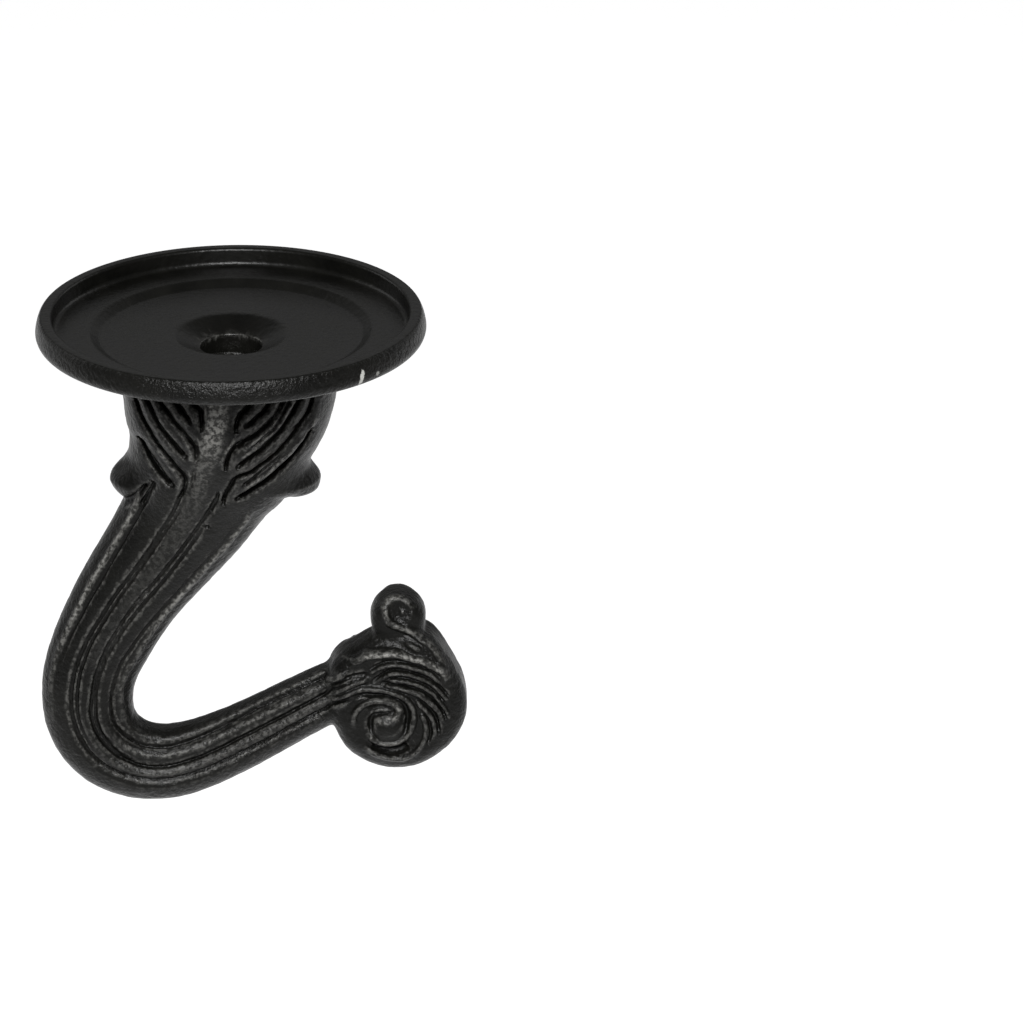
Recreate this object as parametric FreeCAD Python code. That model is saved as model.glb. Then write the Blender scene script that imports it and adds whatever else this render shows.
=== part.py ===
import FreeCAD, Part
import math
import os

V = FreeCAD.Vector

# ---------------------------------------------------------------------------
# Ceiling swag hook, one casting.  Millimetres.
# Z = 0 is the ceiling plane (the flat on the top of the canopy rim), +Z is up,
# the threaded hole is on the Z axis, the J lies in the X-Z plane and opens
# towards +X.  The shape is the same on both sides of the X-Z plane.
# ---------------------------------------------------------------------------

# canopy plate
PLATE_R = 19.05            # 38.1 mm across
RIM_FLAT_OUT_R = 18.25     # flat that bears on the ceiling
RIM_FLAT_IN_R = 17.75
RIM_UPPER_FILLET = 0.80    # rounding of the outer wall, above and below
RIM_LOWER_FILLET = 0.70
RIM_H = 2.30               # height of the rim's outer wall
RIM_IN_R = 17.45           # top of the dish wall
DISH_R = 17.10             # foot of the dish wall
DISH_Z = -1.78             # floor of the dish, outside the step
RING_OUT_R = 13.70         # sloping step in the floor
RING_IN_R = 12.80
FLOOR_Z = -2.20            # floor inside the step
FUNNEL_R = 5.60            # countersunk funnel round the hole
HOLE_MOUTH_R = 3.03
HOLE_MOUTH_Z = -3.50
HOLE_R = 2.50              # M6 thread, minor wall
HOLE_END_Z = -13.00        # full-diameter end of the blind hole
HOLE_POINT = 1.45          # drill point beyond it
SEAM_DEG = 37.0            # where the turned faces start
NECK_TOP_Z = -3.25         # the neck starts inside the plate
UNDER_R = 8.0              # the underside runs on inside the neck to here
UNDER_Z = -5.15
UNDER_MID = (13.8, -3.02)  # its slight hollow

# neck and arm: centre X, centre Z, half width in the X-Z plane, half depth in Y
STATIONS = [
    (-0.10, -3.00, 10.95, 8.35),
    (-0.25, -6.00, 10.70, 8.48),
    (-0.60, -8.80, 10.36, 8.75),
    (-1.22, -11.58, 9.60, 8.35),
    (-1.98, -14.30, 8.74, 7.42),
    (-3.12, -17.06, 7.66, 6.40),
    (-4.28, -19.91, 6.58, 5.45),
    (-5.94, -22.62, 5.93, 4.72),
    (-8.00, -25.53, 5.48, 4.25),
    (-10.05, -28.42, 5.12, 3.95),
    (-12.66, -32.97, 4.80, 3.65),
    (-14.33, -36.90, 4.56, 3.45),
    (-14.78, -39.86, 4.46, 3.35),
    (-14.42, -42.46, 4.35, 3.25),
    (-12.94, -44.84, 4.16, 3.20),
    (-10.62, -46.34, 3.93, 3.15),
    (-7.93, -46.87, 3.71, 3.10),
    (-5.34, -46.54, 3.56, 3.00),
    (-1.60, -45.28, 3.33, 2.85),
    (2.90, -43.08, 3.09, 2.72),
    (7.35, -40.76, 2.90, 2.66),
    (11.20, -38.90, 2.78, 2.66),
]
SECTION_POWER = 2.25       # superellipse of every section

# rib boundaries, as a fraction of the width from the outer edge of the J
RIB_AT = [
    (0.13, 0.31, 0.50, 0.72), (0.13, 0.31, 0.50, 0.72),
    (0.13, 0.31, 0.50, 0.72), (0.13, 0.31, 0.50, 0.72),
    (0.13, 0.31, 0.50, 0.72), (0.13, 0.31, 0.50, 0.72),
    (0.13, 0.31, 0.51, 0.73), (0.13, 0.31, 0.51, 0.73),
    (0.13, 0.31, 0.51, 0.73), (0.14, 0.31, 0.52, 0.74),
    (0.14, 0.32, 0.54, 0.77), (0.13, 0.33, 0.56, 0.80),
    (0.12, 0.34, 0.58, 0.81), (0.12, 0.37, 0.62, 0.85),
    (0.12, 0.41, 0.68, 0.88), (0.12, 0.43, 0.71, 0.90),
    (0.12, 0.43, 0.71, 0.90), (0.12, 0.42, 0.71, 0.90),
    (0.12, 0.41, 0.70, 0.90), (0.12, 0.40, 0.70, 0.90),
    (0.12, 0.40, 0.70, 0.90), (0.12, 0.40, 0.70, 0.90),
]
# depth of the grooves between the ribs
RIB_DEPTH = [
    (0, 0, 0, 0), (0, 0, 0, 0), (0, 0, 0, 0), (0, 0, 0, 0),
    (0, 0, 0, 0), (0.05, 0.08, 0.08, 0.05),
    (0.18, 0.25, 0.25, 0.20), (0.24, 0.36, 0.36, 0.30),
    (0.26, 0.42, 0.42, 0.36), (0.24, 0.46, 0.46, 0.40),
    (0.18, 0.48, 0.48, 0.44), (0.08, 0.50, 0.50, 0.46),
    (0.03, 0.50, 0.50, 0.46), (0.0, 0.50, 0.50, 0.44),
    (0.0, 0.48, 0.48, 0.40), (0.0, 0.46, 0.46, 0.36),
    (0.0, 0.45, 0.45, 0.34), (0.0, 0.44, 0.44, 0.32),
    (0.0, 0.42, 0.42, 0.30), (0.0, 0.40, 0.40, 0.28),
    (0.0, 0.36, 0.36, 0.25), (0.0, 0.30, 0.30, 0.20),
]

# side lobes at the foot of the neck: centre X, Z, half sizes in X, Y, Z
LOBE_OUT = (-8.90, -16.90, 3.20, 3.9, 2.40)
LOBE_IN = (5.75, -17.45, 2.72, 3.4, 1.60)

# leaf on the front and back of the neck: lines of the grooves in X, Z
LEAF_DEPTH = 0.55
SLOT_W = 0.62
VEIN_W = 0.42
LEAF_SLOTS = [
    [(1.44, -8.48), (2.51, -7.53), (3.84, -6.47), (5.00, -5.55)],
    [(0.50, -13.22), (1.63, -12.26), (2.96, -11.02), (4.28, -9.84),
     (5.45, -8.52), (6.46, -6.89)],
    [(0.33, -17.13), (1.57, -16.24), (3.23, -15.14), (4.89, -13.76),
     (6.39, -12.02), (7.57, -10.22)],
    [(-4.07, -8.00), (-4.68, -7.24), (-5.32, -6.59), (-6.05, -5.71)],
    [(-4.56, -12.15), (-5.55, -11.11), (-6.51, -9.79), (-7.47, -8.55),
     (-8.27, -7.36)],
    [(-5.95, -15.69), (-6.91, -14.61), (-7.87, -13.38), (-8.67, -12.21)],
]
LEAF_VEINS = [
    [(1.09, -6.15), (0.63, -7.61), (0.39, -9.18)],
    [(-0.49, -13.44), (-0.40, -12.16), (0.01, -11.01), (0.75, -10.51),
     (1.74, -9.89), (2.74, -9.20), (4.06, -8.18), (5.15, -6.87),
     (5.74, -5.96)],
    [(-0.98, -17.64), (-0.77, -16.33), (-0.21, -15.04), (0.78, -14.39),
     (2.10, -13.72), (3.43, -12.69), (4.76, -11.33), (5.93, -9.81),
     (6.94, -7.97)],
    [(-3.11, -5.99), (-2.86, -7.63), (-2.91, -9.21)],
    [(-3.58, -12.64), (-3.32, -11.43), (-3.55, -10.30), (-4.22, -9.41),
     (-5.19, -8.42), (-6.15, -7.48), (-6.96, -6.75)],
    [(-4.85, -16.67), (-4.60, -15.39), (-4.75, -14.06), (-5.42, -13.18),
     (-6.54, -11.87), (-7.66, -10.30), (-8.61, -8.63)],
]

# scrolled tip: outline in X, Z at the middle plane
TIP_OUTLINE = [
    (8.95, -37.00), (9.46, -36.02), (10.40, -35.12), (11.55, -34.40),
    (12.80, -33.60), (14.30, -33.10), (16.00, -32.90), (17.60, -33.00),
    (18.85, -33.50), (19.85, -34.55), (20.70, -35.90), (21.38, -37.18),
    (21.95, -38.60), (22.32, -40.20), (22.20, -42.00), (21.55, -43.65),
    (20.55, -45.00), (19.30, -46.08), (17.65, -46.95), (15.60, -47.35),
    (13.40, -47.00), (11.60, -46.10), (10.30, -44.90), (9.50, -43.30),
    (9.00, -41.50), (9.00, -39.20),
]
TIP_CENTRE = (15.70, -40.30)
TIP_HALF_DEPTH = 3.60
# share of the half depth, and the size of the outline there
TIP_ROUNDING = [(0.0, 1.0), (0.32, 0.994), (0.56, 0.972), (0.76, 0.928),
                (0.90, 0.862), (1.0, 0.740)]
TIP_CUT = 0.45             # depth of the scroll lines
TIP_LINE_W = 0.55
SCROLL_CENTRE = (14.68, -42.02)
SCROLL_R_IN = 0.75
SCROLL_R_OUT = 4.30
SCROLL_TURNS = 2.35
SCROLL_START = 25.0        # degrees
TIP_LINES = [
    [(12.10, -36.30), (13.30, -35.60), (14.90, -35.25), (16.70, -35.60),
     (18.40, -36.30), (19.70, -37.20), (20.40, -38.30)],
    [(13.04, -37.57), (14.37, -36.68), (15.68, -36.49), (16.99, -36.66),
     (18.55, -37.39), (19.97, -38.54), (20.61, -39.53)],
    [(14.62, -37.60), (16.05, -37.97), (17.61, -38.49), (18.78, -39.50),
     (19.67, -40.78), (20.18, -41.77)],
]

# ball on the top of the tip
NUB = (15.76, -31.95)
NUB_R = 2.72
NUB_HALF_H = 3.02
NUB_HALF_DEPTH = 2.45
NUB_SPIRAL_R = 1.55
NUB_CUT = 0.35


def spline(points):
    c = Part.BSplineCurve()
    n = len(points) - 1.0
    c.interpolate(Points=points, Parameters=[j / n for j in range(len(points))])
    return c


def curve(points):
    c = Part.BSplineCurve()
    c.interpolate(points)
    return c


def ring(points):
    c = Part.BSplineCurve()
    n = float(len(points))
    c.interpolate(Points=points, PeriodicFlag=True,
                  Parameters=[j / n for j in range(len(points) + 1)])
    return c


def section(i, tangent, shrink=0.0):
    """One closed section, square to the centre line; ten edges that meet in
    the grooves and at the two parting edges."""
    x, z, hw, hd = STATIONS[i]
    hw -= shrink
    hd -= shrink
    t = tangent
    nrm = V(-t.z, 0, t.x)               # in the plane, from outer to inner edge
    n = SECTION_POWER
    at = [0.0] + [2.0 * a for a in RIB_AT[i]] + [2.0]
    at = [a - 1.0 for a in at]
    dep = [0.0] + list(RIB_DEPTH[i]) + [0.0]
    if shrink:
        dep = [0.0] * 6

    def angle(f):
        return math.acos(max(-1.0, min(1.0, math.copysign(abs(f) ** (n / 2.0), f))))

    def point(a, d, side):
        c, s = math.cos(a), math.sin(a)
        u = math.copysign(abs(c) ** (2.0 / n), c)
        v = abs(s) ** (2.0 / n) if abs(s) > 1e-12 else 0.0
        gu = math.copysign(abs(u) ** (n - 1.0), u) / hw
        gv = v ** (n - 1.0) / hd
        g = math.hypot(gu, gv) or 1.0
        uu = u * hw - d * gu / g
        vv = v * hd - d * gv / g
        return V(x, 0, z) + nrm * uu + V(0, side * vv, 0)

    edges = []
    for side in (-1.0, 1.0):
        order = range(5) if side < 0 else range(4, -1, -1)
        for k in order:
            a0, a1 = angle(at[k]), angle(at[k + 1])
            pts = []
            for j in range(9):
                s = j / 8.0
                a = a0 + (a1 - a0) * s
                if k == 0:
                    d = dep[1] * s * s
                elif k == 4:
                    d = dep[4] * (1 - s) ** 2
                else:
                    d = (dep[k] * max(0.0, 1 - 2 * s) ** 2
                         + dep[k + 1] * max(0.0, 2 * s - 1) ** 2)
                pts.append(point(a, d, side))
            if side > 0:
                pts.reverse()
            edges.append(spline(pts).toShape())
    return Part.Wire(edges)


def limb(shrink=0.0, count=None):
    """Neck and arm, lofted through the sections."""
    centre = curve([V(s[0], 0, s[1]) for s in STATIONS])
    wires = []
    for i, s in enumerate(STATIONS[:count]):
        if i == 0:
            t = V(0, 0, -1)
        else:
            t = centre.tangent(centre.parameter(V(s[0], 0, s[1])))[0]
        wires.append(section(i, t, shrink))
    return Part.makeLoft(wires, True, False)


def ellipsoid(x, z, rx, ry, rz):
    s = Part.makeSphere(1.0)
    m = FreeCAD.Matrix()
    m.scale(rx, ry, rz)
    s = s.transformGeometry(m)
    s.translate(V(x, 0, z))
    return s


def band(points, width, y0, y1, taper=0.35):
    """A strip of the given width along a curve in X-Z, from y0 to y1."""
    c = curve([V(p[0], y0, p[1]) for p in points])
    a, b = c.FirstParameter, c.LastParameter
    count = max(9, 4 * len(points))
    left, right = [], []
    for j in range(count + 1):
        s = j / float(count)
        u = a + (b - a) * s
        p = c.value(u)
        t = c.tangent(u)[0]
        nrm = V(-t.z, 0, t.x)
        e = min(s, 1 - s) / 0.22
        w = 0.5 * width * (1.0 if e >= 1 else taper + (1 - taper) * e)
        left.append(p + nrm * w)
        right.append(p - nrm * w)
    right.reverse()
    wire = Part.Wire([spline(left).toShape(),
                      Part.makeLine(left[-1], right[0]),
                      spline(right).toShape(),
                      Part.makeLine(right[-1], left[0])])
    return Part.Face(wire).extrude(V(0, y1 - y0, 0))


def both_sides(shapes):
    out = []
    for s in shapes:
        out.append(s)
        out.append(s.mirror(V(0, 0, 0), V(0, 1, 0)))
    return out


def plate():
    edges = []

    def line(p, q):
        edges.append(Part.makeLine(V(p[0], 0, p[1]), V(q[0], 0, q[1])))

    def arc(p, m, q):
        edges.append(Part.Arc(V(p[0], 0, p[1]), V(m[0], 0, m[1]),
                              V(q[0], 0, q[1])).toShape())

    axis_top = (0.0, HOLE_MOUTH_Z)
    mouth = (HOLE_MOUTH_R, HOLE_MOUTH_Z)
    funnel = (FUNNEL_R, FLOOR_Z)
    r0 = (RING_IN_R, FLOOR_Z)
    r1 = (RING_OUT_R, DISH_Z)
    foot_a = (DISH_R - 0.45, DISH_Z)
    foot_m = (DISH_R - 0.45 * 0.32, DISH_Z + 0.45 * 0.30)
    foot_b = (DISH_R + 0.02, DISH_Z + 0.45)
    wall = (RIM_IN_R, -0.30)
    lip_m = (RIM_IN_R + 0.09, -0.09)
    flat_in = (RIM_FLAT_IN_R, 0.0)
    flat_out = (RIM_FLAT_OUT_R, 0.0)
    f, g, k = RIM_UPPER_FILLET, RIM_LOWER_FILLET, math.sqrt(0.5)
    edge_m = (PLATE_R - f * (1 - k), -f * (1 - k))
    edge = (PLATE_R, -f)
    low = (PLATE_R, -RIM_H + g)
    low_m = (PLATE_R - g * (1 - k), -RIM_H + g * (1 - k))
    under = (PLATE_R - g, -RIM_H)
    under_m = UNDER_MID
    neck = (UNDER_R, UNDER_Z)
    axis_low = (0.0, UNDER_Z)
    line(axis_top, mouth)
    line(mouth, funnel)
    line(funnel, r0)
    line(r0, r1)
    line(r1, foot_a)
    arc(foot_a, foot_m, foot_b)
    line(foot_b, wall)
    arc(wall, lip_m, flat_in)
    line(flat_in, flat_out)
    arc(flat_out, edge_m, edge)
    line(edge, low)
    arc(low, low_m, under)
    arc(under, under_m, neck)
    line(neck, axis_low)
    line(axis_low, axis_top)
    face = Part.Face(Part.Wire(edges))
    face.rotate(V(0, 0, 0), V(0, 0, 1), SEAM_DEG)
    return face.revolve(V(0, 0, 0), V(0, 0, 1), 360)


def hole():
    """Blind threaded hole with its countersink and drill point."""
    top = DISH_Z + 3.0
    pts = [(0, HOLE_END_Z - HOLE_POINT), (HOLE_R, HOLE_END_Z),
           (HOLE_R, HOLE_MOUTH_Z - (HOLE_MOUTH_R - HOLE_R)),
           (HOLE_MOUTH_R, HOLE_MOUTH_Z), (FUNNEL_R, FLOOR_Z),
           (FUNNEL_R, top), (0, top)]
    wire = Part.makePolygon([V(p[0], 0, p[1]) for p in pts + pts[:1]])
    face = Part.Face(wire)
    face.rotate(V(0, 0, 0), V(0, 0, 1), SEAM_DEG)
    return face.revolve(V(0, 0, 0), V(0, 0, 1), 360)


def tip():
    cx, cz = TIP_CENTRE
    levels = [(-k, s) for k, s in reversed(TIP_ROUNDING)] + TIP_ROUNDING[1:]
    wires = []
    for k, s in levels:
        c = ring([V(cx + (p[0] - cx) * s, k * TIP_HALF_DEPTH,
                    cz + (p[1] - cz) * s) for p in TIP_OUTLINE])
        wires.append(Part.Wire(c.toShape()))
    return Part.makeLoft(wires, True, False)


def spiral(centre, r0, r1, turns, start):
    pts = []
    count = int(turns * 14)
    for j in range(count + 1):
        s = j / float(count)
        a = math.radians(start) + 2 * math.pi * turns * s
        r = r0 + (r1 - r0) * s
        pts.append((centre[0] + r * math.cos(a), centre[1] + r * math.sin(a)))
    return pts


below = Part.makeBox(80, 80, 60, V(-40, -40, NECK_TOP_Z - 60))
body = limb().common(below)
core = limb(LEAF_DEPTH, 8)
leaf = []
for pts in LEAF_SLOTS:
    leaf.append(band(pts, SLOT_W, -14.0, -1.0).cut(core))
for pts in LEAF_VEINS:
    leaf.append(band(pts, VEIN_W, -14.0, -1.0).cut(core))
body = body.cut(both_sides(leaf))

scroll = tip()
y_face = -TIP_HALF_DEPTH
lines = [band(spiral(SCROLL_CENTRE, SCROLL_R_IN, SCROLL_R_OUT, SCROLL_TURNS,
                     SCROLL_START), TIP_LINE_W, y_face - 1.0, y_face + TIP_CUT)]
for pts in TIP_LINES:
    lines.append(band(pts, TIP_LINE_W, y_face - 1.0, y_face + TIP_CUT))
scroll = scroll.cut(both_sides(lines))

nub = ellipsoid(NUB[0], NUB[1], NUB_R, NUB_HALF_DEPTH, NUB_HALF_H)
nub_lines = [band(spiral((NUB[0] + 0.25, NUB[1] + 0.85), 0.35, NUB_SPIRAL_R, 1.1, 200.0), 0.42,
                  -NUB_HALF_DEPTH - 1.0, -NUB_HALF_DEPTH + NUB_CUT + 0.25)]
nub = nub.cut(both_sides(nub_lines))

lobes = [ellipsoid(*LOBE_OUT), ellipsoid(*LOBE_IN)]

casting = plate().fuse([body, scroll, nub] + lobes)
casting = casting.cut(hole())
solids = casting.Solids
solids.sort(key=lambda s: -s.Volume)
swag_hook = solids[0]

os.makedirs("parts", exist_ok=True)
swag_hook.exportStep("parts/swag_hook.step")
print("solids", len(solids), "valid", swag_hook.isValid(), "faces",
      len(swag_hook.Faces), "volume_mm3", round(swag_hook.Volume, 1),
      "box", swag_hook.BoundBox)
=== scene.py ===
import bmesh
import bpy
import math
import numpy as np
from mathutils import Matrix, Vector


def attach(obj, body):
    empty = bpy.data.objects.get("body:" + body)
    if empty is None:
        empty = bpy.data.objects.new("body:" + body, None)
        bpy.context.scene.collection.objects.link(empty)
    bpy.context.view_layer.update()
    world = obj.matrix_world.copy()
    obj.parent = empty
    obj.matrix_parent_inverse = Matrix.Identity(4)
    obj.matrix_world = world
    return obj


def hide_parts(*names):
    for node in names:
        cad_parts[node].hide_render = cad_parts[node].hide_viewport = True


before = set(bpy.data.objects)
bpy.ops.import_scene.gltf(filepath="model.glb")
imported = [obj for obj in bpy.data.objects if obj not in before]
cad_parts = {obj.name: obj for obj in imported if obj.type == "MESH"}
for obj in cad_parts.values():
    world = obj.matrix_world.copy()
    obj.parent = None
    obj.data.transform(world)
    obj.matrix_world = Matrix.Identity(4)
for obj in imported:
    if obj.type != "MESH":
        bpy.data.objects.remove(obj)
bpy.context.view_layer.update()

# ---------------------------------------------------------------------------
# The casting is worked out as one distance field in millimetres, with the same
# dimensions as the solid: canopy plate, neck with its leaf, ribbed arm,
# scrolled tip and ball.  The field is meshed, projected onto its own zero
# surface and thinned to a single closed mesh.
# ---------------------------------------------------------------------------
STEP = 0.125
TRIANGLES = 190000

# centre X, centre Z, half width in the X-Z plane, half depth in Y
STATIONS = np.array([
    (-0.10, -3.00, 10.95, 8.35), (-0.25, -6.00, 10.70, 8.48),
    (-0.60, -8.80, 10.36, 8.75), (-1.22, -11.58, 9.60, 8.35),
    (-1.98, -14.30, 8.74, 7.42), (-3.12, -17.06, 7.66, 6.40),
    (-4.28, -19.91, 6.58, 5.45), (-5.94, -22.62, 5.93, 4.72),
    (-8.00, -25.53, 5.48, 4.25), (-10.05, -28.42, 5.12, 3.95),
    (-12.66, -32.97, 4.80, 3.65), (-14.33, -36.90, 4.56, 3.45),
    (-14.78, -39.86, 4.46, 3.35), (-14.42, -42.46, 4.35, 3.25),
    (-12.98, -44.91, 4.17, 3.20), (-10.64, -46.42, 3.95, 3.15),
    (-7.93, -46.94, 3.73, 3.10), (-5.33, -46.60, 3.57, 3.00),
    (-1.60, -45.28, 3.33, 2.85), (2.90, -43.08, 3.09, 2.72),
    (7.35, -40.76, 2.90, 2.66), (11.20, -38.90, 2.78, 2.20),
])
POWER = 2.25

# The ribs of the arm.  Each line gives station and place across the width,
# from the outer edge (0) to the inner edge (1).
RIB_A1A2 = [(0, .15), (5.2, .150), (6.4, .116), (7.3, .114), (8.0, .119), (8.7, .129),
            (9.3, .135), (10.2, .132), (21, .13)]
RIB_AB_OUT = [(0, .37), (5.0, .362), (5.7, .348), (6.7, .330), (7.5, .341), (8.6, .337),
              (9.5, .315), (10.1, .296), (11.0, .297), (12.0, .311), (12.8, .329),
              (13.7, .346), (15.0, .368), (16.5, .364), (17.7, .380), (19.0, .388),
              (20.4, .402), (21, .41)]
RIB_AB_IN = [(0, .40), (5.5, .387), (6.6, .360), (7.5, .370), (8.7, .375), (9.3, .368),
             (10.2, .348), (10.8, .360), (11.5, .376), (12.4, .387), (13.15, .415),
             (14, .43), (21, .43)]
RIB_BC_OUT = [(0, .575), (4.6, .576), (5.1, .580), (6.2, .562), (7.0, .564), (8.3, .560),
              (9.3, .536), (10.0, .524), (10.8, .537), (11.5, .553), (12.2, .541),
              (12.9, .543), (13.7, .564), (14.6, .570), (15.6, .566), (16.6, .577),
              (17.6, .600), (18.5, .634), (19.5, .645), (20.5, .668), (21, .68)]
RIB_BC_IN = [(0, .60), (6.1, .594), (7.0, .613), (8.2, .623), (9.1, .605), (9.7, .576),
             (10.4, .564), (11.0, .582), (12.0, .600), (12.6, .598), (13.2, .606),
             (13.7, .622), (14.3, .615), (15.2, .60), (21, .60)]
RIB_CD = [(0, .80), (5.0, .805), (8.0, .806), (9.0, .799), (9.7, .771), (10.4, .749),
          (11.0, .769), (12.0, .780), (12.9, .794), (14.0, .834), (15.4, .847),
          (16.7, .857), (17.5, .875), (18.3, .908), (19.0, .930), (20.0, .924), (21, .92)]
RIB_A1 = [(0, .075), (6.4, .074), (8.0, .079), (9.2, .082), (9.8, .090), (11.0, .080), (12.0, .102), (21, .10)]
RIB_D = [(0, .80), (4.2, .785), (4.7, .812), (5.4, .852), (6.2, .848), (7.0, .843), (8.0, .846), (9.3, .850),
         (10.1, .846), (11.0, .836), (11.8, .868), (13.2, .897), (15.5, .924), (17.0, .922),
         (18.4, .943), (20.0, .966), (21, .97)]
# engraved lines: line, half width, then station and depth
RIB_LINES = [
    (RIB_A1A2, .30, [(0, 0), (5.0, 0), (5.6, .26), (9.4, .22), (10.4, .10), (11.2, 0), (21, 0)]),
    (RIB_AB_OUT, .25, [(0, 0), (4.8, 0), (5.3, .28), (12.6, .32), (13.6, .26), (15.0, .22), (21, .22)]),
    (RIB_AB_IN, .23, [(0, 0), (5.2, 0), (6.0, .24), (12.4, .28), (13.3, .12), (13.9, 0), (21, 0)]),
    (RIB_BC_OUT, .25, [(0, 0), (4.5, 0), (5.0, .30), (10.0, .30), (12.6, .30), (15.0, .22), (21, .22)]),
    (RIB_BC_IN, .23, [(0, 0), (5.8, 0), (6.4, .26), (10.2, .26), (11.0, .16), (12.4, .26), (14.4, .24), (15.2, 0), (21, 0)]),
    (RIB_CD, .28, [(0, 0), (5.4, 0), (6.4, .10), (8.2, .14), (9.2, .26), (12.4, .32), (14.0, .26), (21, .22)]),
]
# rounding of the bands between the lines: station, depth at the four borders
RIB_ROUND = np.array([
    (0.0, .00, .00, .00, .00), (4.8, .00, .00, .00, .00), (5.8, .14, .08, .08, .06),
    (9.0, .14, .12, .12, .14), (10.5, .06, .16, .16, .20), (12.0, .00, .22, .24, .26),
    (13.5, .00, .36, .42, .38), (15.0, .00, .46, .50, .42), (18.0, .00, .44, .46, .34),
    (21.0, .00, .38, .40, .28)])
# raised crests: line, half width, station and height
RIB_CRESTS = [
    (RIB_A1, .42, [(0, 0), (5.4, 0), (6.2, .16), (10.5, .14), (11.8, .05), (12.6, 0), (21, 0)]),
    (RIB_D, .40, [(0, 0), (4.4, 0), (5.2, .16), (11.0, .16), (13.0, .10), (21, .08)]),
]

# rounded ends of the side straps: centre X, Z, half sizes, power, and how
# softly they run into the neck above and below
LOBES = [(-8.90, -16.95, 3.20, 3.70, 2.50, 1.62, 1.0, .40),
         (5.75, -17.48, 2.70, 3.40, 1.36, 2.20, 3.0, .25)]

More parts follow.
